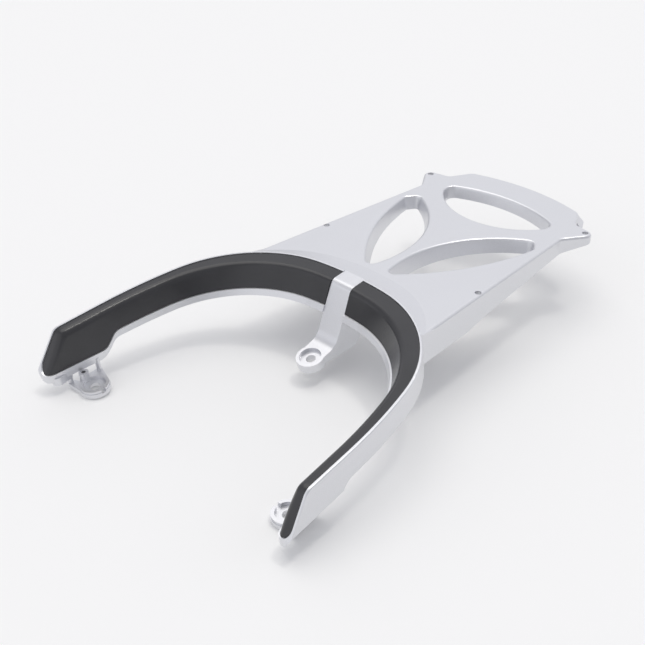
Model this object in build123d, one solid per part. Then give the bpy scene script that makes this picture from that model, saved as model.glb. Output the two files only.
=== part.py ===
from build123d import *
import os
from math import cos, radians, sin, tan

# Rear luggage rack of a scooter. One aluminium casting holds the carrier plate, the horseshoe
# grab rail, the centre tongue and the three bolted feet. Two moulded covers lie in the rail.
# Millimetres, +Z up, +Y to the rear. The origin lies midway between the two front case holes,
# on the top face of the plate.

# Carrier plate: its rear points are given by their distance ahead of the rear edge
plate_thickness = 4.0
plate_rear_reach = 204.0
plate_rear_radius = 202.0
plate_rear_sweep = 16.7
plate_corner = (66.5, 11.0)
plate_notch = (79.0, 34.2)
ear_nose = (107.0, 39.0)
ear_root = (86.3, 70.0)
plate_rail_corner = (103.6, -98.0)
plate_corner_radius = 10.0
plate_notch_radius = 5.0
ear_nose_radius = 8.0
ear_root_radius = 9.0
plate_edge_round = 2.8

# Case holes in the plate
case_hole_diameter = 6.0
front_hole_spacing = 184.0
rear_hole_spacing = 191.0
rear_hole_lead = 44.0

# Skirt under the edge of the plate, and its depth along the plate
skirt_wall = 3.5
skirt_front_depth = 30.0
skirt_front_y = -20.0
skirt_waist_depth = 25.5
skirt_waist_y = 12.0
skirt_rear_depth = 16.0
skirt_rear_lead = 71.0
skirt_line_radius = 40.0
edge_lip_depth = 9.0
edge_lip_lead = 46.0
tail_length = 30.0
tail_flare = 42.0

# Openings of the plate: two leaves and a lens, each with a drafted collar
leaf_tip = (11.0, -32.5)
leaf_inner_mid = (10.3, 40.0)
leaf_inner_end = (70.5, 91.0)
leaf_outer_end = (79.5, 104.0)
leaf_outer_mid = (58.0, 31.0)
leaf_tip_radius = 6.5
leaf_end_radius = 6.5
lens_corner = (67.5, 53.5)
lens_front_lead = 97.0
lens_rear_lead = 35.7
lens_corner_radius = 12.0
collar_wall = 3.0
collar_draft = 15.0
collar_front_depth = 16.5
collar_rear_depth = 11.5
opening_round = 2.6

# Plane of the rail: it leaves the plate at the apex and falls towards the tips
rail_apex = (0.0, -61.1, 4.6)
rail_fall = 7.3

# Plan of the rail at the outer edge of the covers: a bow, a shoulder, a flank and a straight end
bow_radius = 349.0
bow_angle = 6.2
shoulder_radius = 116.0
shoulder_angle = 70.0
flank_radius = 468.0
flank_angle = 9.4
straight_length = 140.0

# Rail section
rail_wall = 2.4
rim_height = 0.8
rim_round = 1.2
ledge_thickness = 5.5
ledge_lip = 1.2
tip_ledge_thickness = 8.0
ledge_step_start = -170.5
ledge_step_end = -184.0
rail_underside_round = 5.0
ramp_start_slope = 23.8
ramp_end_slope = 11.6
ramp_radius = 143.0

# Covers
cover_gap = 0.3
cover_depth = 21.0
cover_apex_width = 16.1
cover_bow_radius = 298.0
cover_shoulder_radius = 112.5
cover_flank_radius = 455.0
cover_apex_draft = 26.0
cover_side_draft = 13.5
cover_tip_splay = 4.5
cover_edge_round = 6.5
cover_heel_round = 9.0

# Side view of the rail tips, along the rail plane from its apex
tip_bend = -214.0
tip_slope = 53.6
tip_bend_radius = 10.0
tip_margin = 1.0
tip_corner_radius = 7.0
tip_front_radius = 9.0
step_start = -168.0
step_end = -181.0
step_radius = 12.0
tip_depth = 33.0
tuck_depth = 29.5
tuck_angle = 34.0

# Tongue and centre foot
tongue_width = 23.6
tongue_thickness = 6.0
tongue_root_y = -58.0
tongue_brow_y = -75.7
tongue_brow_radius = 7.0
tongue_bend_y = -95.1
tongue_bend_radius = 16.0
web_width = 18.0
web_wall = 4.0
web_heel = (-57.5, -61.5)
web_heel_radius = 17.0
centre_foot = (0.0, -115.5, -54.0)
centre_foot_tilt = 16.0

# Feet
foot_diameter = 26.0
foot_counterbore = 20.0
foot_counterbore_depth = 3.5
foot_bolt_hole = 9.0
foot_notch = 4.5
centre_foot_height = 8.5

# Front feet under the tips: places in the rail plane, heights above it
front_foot = (121.0, -208.2)
front_foot_top = -48.0
front_foot_height = 6.5
tab_thickness = 4.0
tab_margin = 0.6
arm_root = (127.0, -215.5)
arm_root_radius = 5.0
arm_end = (142.5, -218.5)
arm_end_radius = 2.4
toe_root = (143.5, -229.5)
toe_radius = 4.5
toe_low = -45.0
heel_root = (136.0, -192.0)
heel_radius = 2.2
post_place = (134.0, -208.7)
post_diameter = 9.0
post_height = 9.0
post_hole = 4.0

# Cover screws
screw_diameter = 4.0
screw_clearance = 0.6
screw_bite = 10.0
screw_head_diameter = 7.5
screw_head_height = 2.6
screw_slot = 1.1
screw_slot_depth = 1.2
screw_inset = 7.0
screw_stations = (0.14, 0.55, 0.93)

# Reach of the shapes that only trim others
beyond = 60.0
plug_rise = 5.0

# How far up a face looks, as the Z part of its normal: upright walls, drafted walls, level faces
upright_limit = 0.01
drafted_limit = 0.1
level_limit = 0.5

rail_plane = Plane(
    origin=rail_apex,
    x_dir=(1, 0, 0),
    z_dir=(0, -sin(radians(rail_fall)), cos(radians(rail_fall))),
)


def both_sides(shape):
    """The shape and its mirror image on the other side of the rack."""
    return shape + mirror(shape, about=Plane.YZ)


def ahead(point):
    """A place given by its distance ahead of the rear edge of the plate."""
    return (point[0], plate_rear_reach - point[1])


# Plate outline
def plate_outline():
    rear = JernArc((0, plate_rear_reach), (1, 0), plate_rear_radius, -plate_rear_sweep)
    side = FilletPolyline(
        rear @ 1,
        ahead(plate_corner),
        ahead(plate_notch),
        ahead(ear_nose),
        ahead(ear_root),
        plate_rail_corner,
        radius=[plate_corner_radius, plate_notch_radius, ear_nose_radius, ear_root_radius],
    )
    front = Polyline(plate_rail_corner, (0, plate_rail_corner[1]), (0, plate_rear_reach))
    return both_sides(make_face([rear, side, front]))


def leaf_outline():
    inner_end = ahead(leaf_inner_end)
    outer_end = ahead(leaf_outer_end)
    inner = ThreePointArc(leaf_tip, leaf_inner_mid, inner_end)
    outer = ThreePointArc(outer_end, leaf_outer_mid, leaf_tip)
    leaf = make_face([inner, Line(inner_end, outer_end), outer])
    roundings = {leaf_tip: leaf_tip_radius, inner_end: leaf_end_radius, outer_end: leaf_end_radius}
    for corner, radius in roundings.items():
        leaf = fillet(leaf.vertices().sort_by_distance((*corner, 0))[0], radius)
    return leaf


def lens_outline():
    right_corner = ahead(lens_corner)
    left_corner = (-right_corner[0], right_corner[1])
    rear = ThreePointArc(left_corner, ahead((0, lens_rear_lead)), right_corner)
    front = ThreePointArc(right_corner, ahead((0, lens_front_lead)), left_corner)
    lens = make_face([rear, front])
    return fillet(lens.vertices(), lens_corner_radius)


def side_slab(line, closing):
    """A slab right across the rack whose side view is the line closed by the points given."""
    outline = make_face([line, Polyline(line @ 1, *closing, line @ 0)])
    return extrude(Plane.YZ * outline, amount=6 * beyond, both=True)


# Carrier plate with its skirt, collars and holes
def skirt_slab():
    low = FilletPolyline(
        (-2 * beyond, -skirt_front_depth),
        (skirt_front_y, -skirt_front_depth),
        (skirt_waist_y, -skirt_waist_depth),
        (plate_rear_reach - skirt_rear_lead, -skirt_rear_depth),
        (plate_rear_reach - edge_lip_lead, -edge_lip_depth),
        (plate_rear_reach + beyond, -edge_lip_depth),
        radius=skirt_line_radius,
    )
    return side_slab(low, [(plate_rear_reach + beyond, 0), (-2 * beyond, 0)])


def collar_slab():
    front = leaf_tip[1] - collar_wall
    rear = plate_rear_reach - lens_rear_lead + collar_wall
    low = Line((front, -collar_front_depth), (rear, -collar_rear_depth))
    return side_slab(low, [(rear, 0), (front, 0)])


def down(outline):
    return extrude(outline, amount=skirt_front_depth, dir=(0, 0, -1))


def tail(outline):
    """Flared lip round the rear edge of the plate."""
    start = plate_rear_reach - tail_length
    rear = outline & Pos(0, start + beyond) * Rectangle(6 * beyond, 2 * beyond)
    depth = edge_lip_depth - plate_edge_round
    lip = extrude(rear, amount=depth, dir=(0, 0, -1), taper=-tail_flare)
    lip -= extrude(offset(rear, -skirt_wall), amount=depth, dir=(0, 0, -1), taper=-tail_flare)
    lip = Pos(0, 0, -plate_edge_round) * lip
    return lip & Pos(0, start + skirt_wall + beyond) * Box(6 * beyond, 2 * beyond, 2 * beyond)


def drafted(outline, grow, high):
    """A prism that narrows downwards. At the top of the plate it follows the outline grown by an amount."""
    levels = (high, -1.1 * collar_front_depth)
    rings = [Pos(0, 0, z) * offset(outline, grow + z * tan(radians(collar_draft))) for z in levels]
    return loft(rings, ruled=True)


def carrier_plate():
    outline = plate_outline()
    leaf = leaf_outline()
    openings = [leaf, mirror(leaf, about=Plane.YZ), lens_outline()]
    plate = extrude(outline, amount=-plate_thickness)
    plate += down(outline - offset(outline, -skirt_wall)) & skirt_slab()
    top = plate.faces().sort_by(Axis.Z)[-1]
    front = plate_rail_corner[1] + skirt_wall
    rim = [edge for edge in top.outer_wire().edges() if edge.center().Y > front]
    plate = fillet(rim, plate_edge_round)
    slab = collar_slab()
    for opening in openings:
        plate += drafted(opening, collar_wall, 0) & slab
    for opening in openings:
        plate -= drafted(opening, 0, plug_rise)
    top = plate.faces().sort_by(Axis.Z)[-1]
    mouths = [edge for wire in top.inner_wires() for edge in wire.edges()]
    plate = fillet(mouths, opening_round) + tail(outline)
    hole = Cylinder(case_hole_diameter / 2, 2 * beyond)
    for spacing, setback in ((front_hole_spacing, 0), (rear_hole_spacing, plate_rear_reach - rear_hole_lead)):
        plate -= both_sides(Pos(spacing / 2, setback, 0) * hole)
    return plate


# Rail: plan views lie in the rail plane, with the apex at the origin
def rail_arcs(apex, bow_bend, shoulder_bend, flank_bend, splay=0.0):
    bow = JernArc((0, apex), (1, 0), bow_bend, -bow_angle)
    shoulder = JernArc(bow @ 1, bow % 1, shoulder_bend, -shoulder_angle)
    flank = JernArc(shoulder @ 1, shoulder % 1, flank_bend, splay - flank_angle)
    return [bow, shoulder, flank]


def rail_plan(arcs):
    start = arcs[0] @ 0
    end = arcs[-1] @ 1 + straight_length * (arcs[-1] % 1)
    closing = Polyline(arcs[-1] @ 1, end, (0, end.Y), start)
    return both_sides(make_face([*arcs, closing]))


def outer_arcs(grow):
    return rail_arcs(grow, bow_radius + grow, shoulder_radius + grow, flank_radius + grow)


def outer_prism(grow):
    return extrude(rail_plan(outer_arcs(grow)), amount=beyond, both=True)


def inner_arcs(depth, inset):
    apex = -cover_apex_width - depth * tan(radians(cover_apex_draft)) - inset
    shrink = depth * tan(radians(cover_side_draft)) + inset
    bends = [cover_bow_radius, cover_shoulder_radius, cover_flank_radius]
    return rail_arcs(apex, *[bend - shrink for bend in bends], cover_tip_splay * depth / tip_depth)


def inner_plan(depth, inset):
    return Pos(0, 0, -depth) * rail_plan(inner_arcs(depth, inset))


def inner_plug(inset):
    """The space inside the horseshoe: drafted down to the foot of the covers, then upright."""
    top = inner_plan(-plug_rise, inset)
    low = inner_plan(tip_depth, inset)
    return loft([top, low], ruled=True) + extrude(low, amount=-beyond)


def tip_end(depth, reach):
    """Where the slanted end of a tip lies at a depth under the rail plane."""
    return tip_bend - reach / sin(radians(tip_slope)) - depth / tan(radians(tip_slope))


def floor_side(low, start, end, tip_low):
    """Side view of all that lies above a floor with a step down towards the tips."""
    line = FilletPolyline(
        (beyond, -low),
        (start, -low),
        (end, -tip_low),
        (tip_end(beyond, beyond), -tip_low),
        radius=step_radius,
    )
    return side_slab(line, [((line @ 1).X, beyond), (beyond, beyond)])


def rounded_below(block, radius):
    low = [face for face in block.faces() if facing(face) < -level_limit]
    return block.fillet(radius, walls_and(block, low))


def cover_space(gap):
    """Room for the covers inside the wall and above the ledge."""
    floor = floor_side(cover_depth - gap, step_start, step_end, tip_depth - gap)
    return rounded_below(outer_prism(-gap) & floor, cover_heel_round - gap)


def roof_side(rise, reach, knee):
    """Side view of all that lies under the top of the rail and behind its slanted ends."""
    line = FilletPolyline(
        (beyond, rise),
        (tip_end(-rise, reach), rise),
        (tip_end(knee, reach), -knee),
        (tip_end(knee, reach), -2 * beyond),
        radius=[tip_bend_radius, tip_corner_radius],
    )
    return side_slab(line, [(beyond, -2 * beyond)])


def tip_tuck():
    """Slanting cut under the outer side of a tip."""
    flank_end = outer_arcs(rail_wall)[-1]
    along = flank_end % 1
    plane = Plane(origin=flank_end @ 1 - beyond * along, x_dir=(-along.Y, along.X, 0), z_dir=along)
    fall = beyond - tuck_depth
    triangle = Polyline(
        (beyond, -tuck_depth),
        (0, -tuck_depth),
        (-fall * tan(radians(tuck_angle)), -beyond),
        (beyond, -beyond),
        close=True,
    )
    return extrude(plane * make_face(triangle), amount=beyond + straight_length)


def ledge_corner():
    """The sharp inner corner that the rounded front of a ledge does without."""
    flank_end = inner_arcs(tip_depth, ledge_lip)[-1]
    along = flank_end % 1
    start = flank_end @ 1
    corner = start + along * ((tip_end(tip_depth, tip_margin) - start.Y) / along.Y)
    back = corner - along * 2 * tip_front_radius
    across = Vector(2 * tip_front_radius, 0)
    square = make_face(Polyline(corner, back, back + across, corner + across, close=True))
    tip = square.vertices().sort_by_distance(corner)[0]
    return extrude(square - fillet(tip, tip_front_radius), amount=beyond, both=True)


def shared_edges(some_faces, other_faces):
    others = [edge for face in other_faces for edge in face.edges()]
    return [e for face in some_faces for e in face.edges() if any(e.is_same(o) for o in others)]


def facing(face):
    return face.normal_at(face.center()).Z


def walls_and(block, others):
    walls = [face for face in block.faces() if abs(facing(face)) < upright_limit]
    return shared_edges(walls, others)


def rail_body():
    ledge_floor = floor_side(
        cover_depth + ledge_thickness, ledge_step_start, ledge_step_end, tip_depth + tip_ledge_thickness
    )
    block = rounded_below(outer_prism(rail_wall) & ledge_floor, rail_underside_round)
    block = block & roof_side(rim_height, tip_margin, tip_depth)
    high = [face for face in block.faces() if facing(face) > level_limit]
    block = block.fillet(rim_round, walls_and(block, high))
    block -= both_sides(tip_tuck())
    block -= inner_plug(ledge_lip)
    block -= both_sides(ledge_corner())
    return block - cover_space(0)


def cover_pair():
    block = cover_space(cover_gap) & roof_side(0, 0, beyond)
    block -= inner_plug(0)
    high = [face for face in block.faces() if facing(face) > level_limit]
    inner = [face for face in block.faces() if drafted_limit < facing(face) < level_limit]
    block = block.fillet(cover_edge_round, shared_edges(high, inner))
    return block - Box(tongue_width + 2 * cover_gap, 2 * beyond, 2 * beyond)


def ramp():
    """Hollow slope from the plate up to the rim of the rail."""
    crest = (0, 0)
    start = radians(ramp_start_slope)
    slope = JernArc(crest, (cos(start), -sin(start)), ramp_radius, ramp_start_slope - ramp_end_slope)
    far = (slope @ 1).X
    closing = Polyline(slope @ 1, (far, -beyond), (-rail_wall / 2, -beyond), (-rail_wall / 2, 0), crest)
    across = Plane(origin=(0, rail_wall, 0), x_dir=(0, 1, 0), z_dir=(1, 0, 0))
    half = sweep(across * make_face([slope, closing]), path=Wire(outer_arcs(rail_wall)))
    over_plate = Pos(0, 0, -plate_thickness) * extrude(plate_outline(), amount=beyond)
    return rail_plane * both_sides(half) & over_plate


# Tongue, its two webs and the centre foot
foot_plane = Plane(
    origin=centre_foot,
    x_dir=(1, 0, 0),
    z_dir=(0, -sin(radians(centre_foot_tilt)), cos(radians(centre_foot_tilt))),
)


def on_rail_plane(y):
    return (y, rail_apex[2] + (y - rail_apex[1]) * tan(radians(rail_fall)))


def on_foot_plane(y):
    return (y, centre_foot[2] + (y - centre_foot[1]) * tan(radians(centre_foot_tilt)))


def tongue_path():
    return FilletPolyline(
        on_rail_plane(tongue_root_y),
        on_rail_plane(tongue_brow_y),
        on_foot_plane(tongue_bend_y),
        on_foot_plane(centre_foot[1]),
        radius=[tongue_brow_radius, tongue_bend_radius],
    )


def tongue_strip():
    outline = make_face(offset(tongue_path(), tongue_thickness, side=Side.LEFT))
    return extrude(Plane.YZ * outline, amount=tongue_width / 2, both=True)


def tongue_front():
    """The free space in front of the tongue."""
    path = tongue_path()
    far = path @ 1 - Vector(beyond, 0)
    closing = Polyline(path @ 1, far, (far.X, beyond), ((path @ 0).X, beyond), path @ 0)
    return extrude(Plane.YZ * make_face([path, closing]), amount=tongue_width / 2, both=True)


def tongue_webs():
    foot_low = foot_plane * Pos(0, 0, -centre_foot_height)
    line = FilletPolyline(
        (web_heel[0], -cover_depth),
        web_heel,
        (foot_low.position.Y, foot_low.position.Z),
        radius=web_heel_radius,
    )
    closing = [on_foot_plane(centre_foot[1]), on_foot_plane(tongue_bend_y), (tongue_brow_y, -cover_depth)]
    outline = make_face([line, Polyline(line @ 1, *closing, line @ 0)])
    webs = extrude(Plane.YZ * outline, amount=web_width / 2, both=True)
    return webs - extrude(Plane.YZ * outline, amount=web_width / 2 - web_wall, both=True)


# Feet
def round_bar(place, radius, low, high):
    return Pos(*place, low) * extrude(Circle(radius), amount=high - low)


def bar_hull(ends, low, high):
    discs = [Pos(*place) * Circle(radius + tab_margin) for place, radius in ends]
    return Pos(0, 0, low) * extrude(make_hull([disc.edge() for disc in discs]), amount=high - low)


def foot_bore(height):
    seat = extrude(Circle(foot_counterbore / 2), amount=-foot_counterbore_depth)
    seat += extrude(Circle(foot_counterbore / 2), amount=foot_counterbore_depth)
    return seat + extrude(Circle(foot_bolt_hole / 2), amount=-2 * height)


def front_foot_body():
    low = front_foot_top - front_foot_height
    tab_top = low + tab_thickness
    disc = (front_foot, foot_diameter / 2)
    heel = (heel_root, heel_radius)
    post = (post_place, post_diameter / 2)
    arm = (arm_end, arm_end_radius)
    in_ledge = -tip_depth - tip_ledge_thickness / 2
    body = bar_hull([disc, heel, post], low, tab_top)
    body += round_bar(*disc, low, front_foot_top)
    body += bar_hull([(arm_root, arm_root_radius), arm], low, tab_top)
    body += bar_hull([arm, (toe_root, toe_radius)], toe_low, in_ledge)
    body += round_bar(*arm, low, in_ledge)
    body += round_bar(*heel, low, in_ledge)
    body += round_bar(*post, low, tab_top + post_height)
    body -= Pos(*front_foot, front_foot_top) * foot_bore(front_foot_height)
    body -= Pos(front_foot[0] - foot_diameter / 2, front_foot[1], front_foot_top) * Box(
        foot_diameter, foot_notch, 2 * foot_counterbore_depth
    )
    body -= round_bar(post_place, post_hole / 2, tab_top, tab_top + 2 * post_height)
    return body - tip_tuck()


# Cover screws, driven up through the ledge
def screw_places():
    path = Wire(outer_arcs(-screw_inset))
    return [path @ station for station in screw_stations]


def screw_holes():
    radius = (screw_diameter + screw_clearance) / 2
    depth = screw_bite - cover_depth
    holes = [round_bar((place.X, place.Y), radius, -beyond, depth) for place in screw_places()]
    return both_sides(Part() + holes)


def cover_screw():
    head = extrude(Circle(screw_head_diameter / 2), amount=-screw_head_height)
    rim = head.edges().sort_by(Axis.Z)[0]
    head = fillet(rim, screw_head_height / 2)
    shank = extrude(Circle(screw_diameter / 2), amount=ledge_thickness + screw_bite - screw_clearance)
    slot = Box(screw_slot, screw_head_diameter / 2, 2 * screw_slot_depth)
    cross = slot + Rot(0, 0, 90) * slot
    return head + shank - Pos(0, 0, -screw_head_height) * cross


def cover_screws(side):
    seat = -cover_depth - ledge_thickness
    screw = cover_screw()
    return [rail_plane * Pos(side * place.X, place.Y, seat) * screw for place in screw_places()]


# Casting
def rack_casting():
    body = carrier_plate() + ramp()
    body -= rail_plane * outer_prism(0)
    body += rail_plane * rail_body()
    body -= rail_plane * Pos(0, 0, beyond / 2) * Box(tongue_width, 2 * beyond, beyond)
    body += tongue_webs()
    body -= tongue_front()
    body += tongue_strip()
    body += foot_plane * round_bar((0, 0), foot_diameter / 2, -centre_foot_height, 0)
    body -= foot_plane * foot_bore(centre_foot_height)
    body += rail_plane * both_sides(front_foot_body())
    return body - rail_plane * screw_holes()


covers = rail_plane * (cover_pair() - screw_holes())
left_cover, right_cover = covers.solids().sort_by(Axis.X)
parts = {
    "rack_casting": rack_casting(),
    "left_grip_cover": left_cover,
    "right_grip_cover": right_cover,
    "left_grip_screws": Compound(children=cover_screws(-1)),
    "right_grip_screws": Compound(children=cover_screws(1)),
}
os.makedirs("parts", exist_ok=True)
for name, shape in parts.items():
    export_step(shape, f"parts/{name}.step")
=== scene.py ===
import bpy
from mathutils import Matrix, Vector


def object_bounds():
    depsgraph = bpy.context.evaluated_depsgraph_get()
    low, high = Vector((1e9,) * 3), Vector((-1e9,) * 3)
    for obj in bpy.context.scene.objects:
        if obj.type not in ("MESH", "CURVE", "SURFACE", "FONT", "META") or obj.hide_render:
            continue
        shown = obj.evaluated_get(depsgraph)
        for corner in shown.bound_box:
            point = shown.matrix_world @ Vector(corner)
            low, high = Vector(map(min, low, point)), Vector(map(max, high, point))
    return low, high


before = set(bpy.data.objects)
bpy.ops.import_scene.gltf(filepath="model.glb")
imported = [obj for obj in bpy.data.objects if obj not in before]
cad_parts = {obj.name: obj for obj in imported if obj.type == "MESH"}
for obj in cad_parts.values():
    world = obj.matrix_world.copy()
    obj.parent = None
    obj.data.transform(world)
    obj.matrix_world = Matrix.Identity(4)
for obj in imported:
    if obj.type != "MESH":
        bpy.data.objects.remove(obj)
cad_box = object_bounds()


# Rack casting: carrier plate, horseshoe rail, tongue and feet in one piece of cast aluminium.
# It is sprayed with a satin silver paint full of fine metal flakes. The paint has a slight
# orange peel, and its tone drifts a little over the plate.
class Shade:
    """One socket of a shader tree. Arithmetic on it adds Math nodes to the tree."""

    def __init__(self, tree, socket=None):
        self.tree = tree
        self.socket = socket

    def node(self, kind, settings, sockets, output=0):
        made = self.tree.nodes.new(kind)
        for name, value in settings.items():
            setattr(made, name, value)
        for name, value in sockets.items():
            if isinstance(value, Shade):
                self.tree.links.new(value.socket, made.inputs[name])
            else:
                made.inputs[name].default_value = value
        return Shade(self.tree, made.outputs[output] if made.outputs else None)

    def math(self, operation, first, second):
        return self.node("ShaderNodeMath", {"operation": operation}, {0: first, 1: second})

    def __add__(self, other):
        return self.math("ADD", self, other)

    def __radd__(self, other):
        return self.math("ADD", other, self)

    def __sub__(self, other):
        return self.math("SUBTRACT", self, other)

    def __rsub__(self, other):
        return self.math("SUBTRACT", other, self)

    def __mul__(self, other):
        return self.math("MULTIPLY", self, other)

    def __rmul__(self, other):
        return self.math("MULTIPLY", other, self)


def blank(owner):
    """The emptied shader tree of a material or a world."""
    owner.use_nodes = True
    owner.node_tree.nodes.clear()
    return Shade(owner.node_tree)


def finish_for(node_name, material_name):
    """The empty shader tree of a new material on a CAD node."""
    material = bpy.data.materials.new(material_name)
    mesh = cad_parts[node_name].data
    mesh.materials.clear()
    mesh.materials.append(material)
    return blank(material)


def grain(place, size, detail=2.0):
    """Noise between 0 and 1 whose lumps are about the given size in metres."""
    sockets = {"Vector": place, "Scale": 1 / size, "Detail": detail}
    return place.node("ShaderNodeTexNoise", {}, sockets, "Fac")


def raised(height, strength, depth):
    """A normal that is tilted by a height pattern of the given depth in metres."""
    sockets = {"Height": height, "Strength": strength, "Distance": depth}
    return height.node("ShaderNodeBump", {}, sockets, "Normal")


def tint(start, end, amount):
    """A colour between two others."""
    settings = {"data_type": "RGBA"}
    return amount.node("ShaderNodeMix", settings, {"Factor": amount, 6: start, 7: end}, 2)


def coat(tree, sockets):
    """The surface of a piece, joined to the output of its material."""
    skin = tree.node("ShaderNodeBsdfPrincipled", {}, sockets)
    tree.node("ShaderNodeOutputMaterial", {}, {"Surface": skin})


silver_dark = (0.68, 0.685, 0.71, 1)
silver_light = (0.79, 0.795, 0.825, 1)
silver_metal = 0.8
silver_roughness = 0.30
flake_size = 0.0008
flake_roughness = 0.08
flake_share = 0.8
flake_relief = 0.4
peel_size = 0.0022
peel_strength = 0.12
peel_depth = 0.0002
drift_size = 0.06

paint = finish_for("rack_casting", "silver_paint")
place = paint.node("ShaderNodeTexCoord", {}, {}, "Object")
flakes = grain(place, flake_size, 1.0)
peel = grain(place, peel_size)
drift = grain(place, drift_size)
tone = flake_share * flakes + (1 - flake_share) * drift
relief = (1 - flake_relief) * peel + flake_relief * flakes
coat(
    paint,
    {
        "Base Color": tint(silver_dark, silver_light, tone),
        "Metallic": silver_metal,
        "Roughness": silver_roughness + flake_roughness * flakes,
        "Normal": raised(relief, peel_strength, peel_depth),
    },
)

# Grip covers: two black mouldings that lie in the horseshoe rail, one on each side of the tongue.
# Injection moulded plastic with a satin face and a faint leather grain, screwed on from below.
grip_black = (0.024, 0.024, 0.027, 1)
grip_grey = (0.036, 0.036, 0.040, 1)
grip_roughness = 0.21
grip_shine = 0.5
flow_size = 0.03
flow_roughness = 0.05
leather_size = 0.0012
leather_strength = 0.15
leather_depth = 0.0002

for side in ("left", "right"):
    moulding = finish_for(side + "_grip_cover", side + "_grip_plastic")
    place = moulding.node("ShaderNodeTexCoord", {}, {}, "Object")
    settings = {"feature": "SMOOTH_F1"}
    sockets = {"Vector": place, "Scale": 1 / leather_size}
    leather = moulding.node("ShaderNodeTexVoronoi", settings, sockets, "Distance")
    flow = grain(place, flow_size)
    coat(
        moulding,
        {
            "Base Color": tint(grip_black, grip_grey, flow),
            "Roughness": grip_roughness + flow_roughness * flow,
            "Specular IOR Level": grip_shine,
            "Normal": raised(leather, leather_strength, leather_depth),
        },
    )

# Cover screws: zinc plated steel screws with a cross recess, driven up through the ledge of the
# rail into the covers. The plating is bright and slightly spangled.
zinc_dark = (0.42, 0.42, 0.40, 1)
zinc_light = (0.62, 0.62, 0.60, 1)
zinc_roughness = 0.28
spangle_size = 0.0009
spangle_roughness = 0.2

for side in ("left", "right"):
    plating = finish_for(side + "_grip_screws", side + "_screw_zinc")
    place = plating.node("ShaderNodeTexCoord", {}, {}, "Object")
    spangle = grain(place, spangle_size)
    coat(
        plating,
        {
            "Base Color": tint(zinc_dark, zinc_light, spangle),
            "Metallic": 1.0,
            "Roughness": zinc_roughness + spangle_roughness * spangle,
        },
    )

# Floor: a wide matt white studio sheet just under the lowest point of the rack. A small part of
# its white is a glow that the camera sees, and a larger part one that shows in reflections, which
# keeps the lower faces of the casting bright.
floor_half = 4.0
floor_gap = 0.0005
floor_white = (0.905, 0.905, 0.905, 1)
floor_glow = 0.05
floor_mirror_glow = 0.45

low = cad_box[0][2] - floor_gap
reach = (-floor_half, floor_half)
corners = [(x, y, low) for y in reach for x in reach]
floor_mesh = bpy.data.meshes.new("floor")
floor_mesh.from_pydata(corners, [], [(0, 1, 3, 2)])
floor = bpy.data.objects.new("floor", floor_mesh)
bpy.context.scene.collection.objects.link(floor)
floor_paper = bpy.data.materials.new("floor_paper")
floor_mesh.materials.append(floor_paper)
paper = blank(floor_paper)
seen = paper.node("ShaderNodeLightPath", {}, {}, "Is Camera Ray")
mirrored = paper.node("ShaderNodeLightPath", {}, {}, "Is Glossy Ray")
matt = paper.node("ShaderNodeBsdfDiffuse", {}, {"Color": floor_white})
glow = paper.node("ShaderNodeEmission", {}, {"Color": floor_white, "Strength": 1.0})
glow_share = seen * floor_glow + mirrored * floor_mirror_glow
mixed = paper.node("ShaderNodeMixShader", {}, {0: glow_share, 1: matt, 2: glow})
paper.node("ShaderNodeOutputMaterial", {}, {"Surface": mixed})

# Studio light: a white tent, bright behind and in front of the rack, with a dim gap low on its left
# and a plain white backdrop for the camera. A small soft box almost overhead glints on the edges,
# and a broad key lamp gives most of the shadow.
tent_dim = (0.50, 0.505, 0.53, 1)
tent_back = (0.86, 0.865, 0.90, 1)
tent_front = (0.92, 0.925, 0.96, 1)
tent_gap = (0.30, 0.30, 0.31, 1)
backdrop_white = (0.915, 0.915, 0.92, 1)
back_side = (-0.30, 0.75, 0.60)
front_side = (-0.15, -0.98, 0.10)
gap_side = (-0.83, 0.55, -0.10)
lamp_white = (1.0, 0.975, 0.92)
soft_box_from = (0.08, 0.28, 0.957)
soft_box_energy = 0.34
soft_box_angle = 0.18
key_from = (-0.25, 0.05, 1.0)
key_energy = 0.68
key_angle = 0.9

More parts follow.
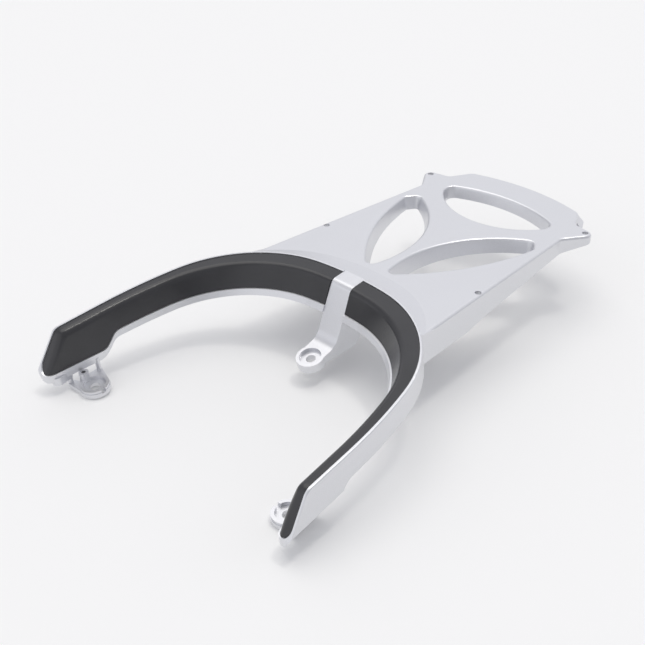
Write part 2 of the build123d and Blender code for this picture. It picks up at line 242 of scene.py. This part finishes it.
tent = bpy.data.worlds.new("tent")
cloth = blank(tent)
toward = cloth.node("ShaderNodeTexCoord", {}, {}, "Generated")


def facing(direction, start, end):
    """How far the tent lies towards a direction: 0 up to the start of a dot product, 1 from its end."""
    settings = {"operation": "DOT_PRODUCT"}
    along = cloth.node("ShaderNodeVectorMath", settings, {0: toward, 1: direction}, "Value")
    settings = {"interpolation_type": "SMOOTHSTEP"}
    return cloth.node("ShaderNodeMapRange", settings, {"Value": along, 1: start, 2: end})


shine = tint(tent_dim, tent_back, facing(back_side, 0.3, 0.85))
shine = tint(shine, tent_front, facing(front_side, 0.5, 0.85))
shine = tint(shine, tent_gap, facing(gap_side, 0.93, 0.99))
direct = cloth.node("ShaderNodeLightPath", {}, {}, "Is Camera Ray")
sockets = {"Color": tint(shine, backdrop_white, direct), "Strength": 1.0}
backdrop = cloth.node("ShaderNodeBackground", {}, sockets)
cloth.node("ShaderNodeOutputWorld", {}, {"Surface": backdrop})
bpy.context.scene.world = tent


def hang_lamp(name, source, energy, angle):
    """A far lamp that shines from a direction and looks as wide as the angle, in radians."""
    lamp = bpy.data.lights.new(name, "SUN")
    lamp.energy = energy
    lamp.angle = angle
    lamp.color = lamp_white
    hung = bpy.data.objects.new(name, lamp)
    hung.rotation_euler = Vector(source).to_track_quat("Z", "Y").to_euler()
    bpy.context.scene.collection.objects.link(hung)


hang_lamp("soft_box", soft_box_from, soft_box_energy, soft_box_angle)
hang_lamp("key", key_from, key_energy, key_angle)

# Camera: a long lens above the open front end of the rail, a little to its right, which looks down
# and back along the plate.
camera_place = Vector((0.62037, -0.73424, 0.52533))
camera_target = Vector((0.0, -0.09975, -0.02624))
sensor_width = 36.0
focal_length = 66.42

lens = bpy.data.cameras.new("camera")
lens.sensor_width = sensor_width
lens.lens = focal_length
camera = bpy.data.objects.new("camera", lens)
camera.location = camera_place
camera.rotation_euler = (camera_place - camera_target).to_track_quat("Z", "Y").to_euler()
bpy.context.scene.collection.objects.link(camera)
bpy.context.scene.camera = camera

bpy.context.scene.view_settings.view_transform = "Standard"
